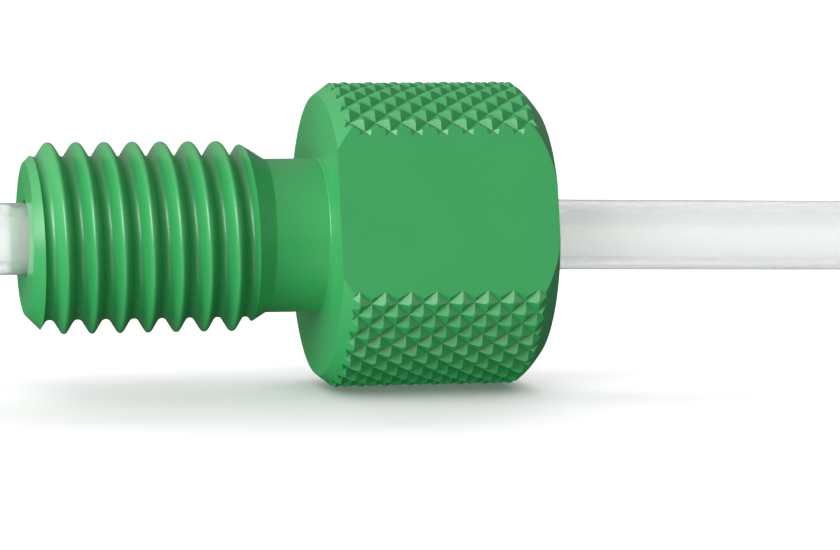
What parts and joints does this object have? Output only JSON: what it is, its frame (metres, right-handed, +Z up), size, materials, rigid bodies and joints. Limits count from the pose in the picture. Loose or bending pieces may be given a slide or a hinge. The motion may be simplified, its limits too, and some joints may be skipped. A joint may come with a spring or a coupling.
{
  "type": "fingertight tube fitting",
  "caption": "Male fingertight fitting: a one-piece threaded nut with a knurled, two-flat head, turning on a straight length of translucent tubing.",
  "frame": {"origin": "middle of the nose face, on the thread's axis", "axes": "+X along the axis from the nose to the head and the long tubing end, +Z up as the nut lies on its head"},
  "size_m": [0.0336, 0.0092, 0.01],
  "materials": {
    "nut_plastic": "satin moulded green plastic",
    "tubing_plastic": "translucent, smooth, faintly milky"
  },
  "bodies": {
    "tubing": {"tubing": "tubing_plastic"},
    "nut": {"nut": "nut_plastic"}
  },
  "joints": [
    {"name": "nut_swivel", "type": "hinge", "parent": "tubing", "child": "nut", "pos_m": [0, 0, 0], "axis": [1, 0, 0], "continuous": true}
  ]
}
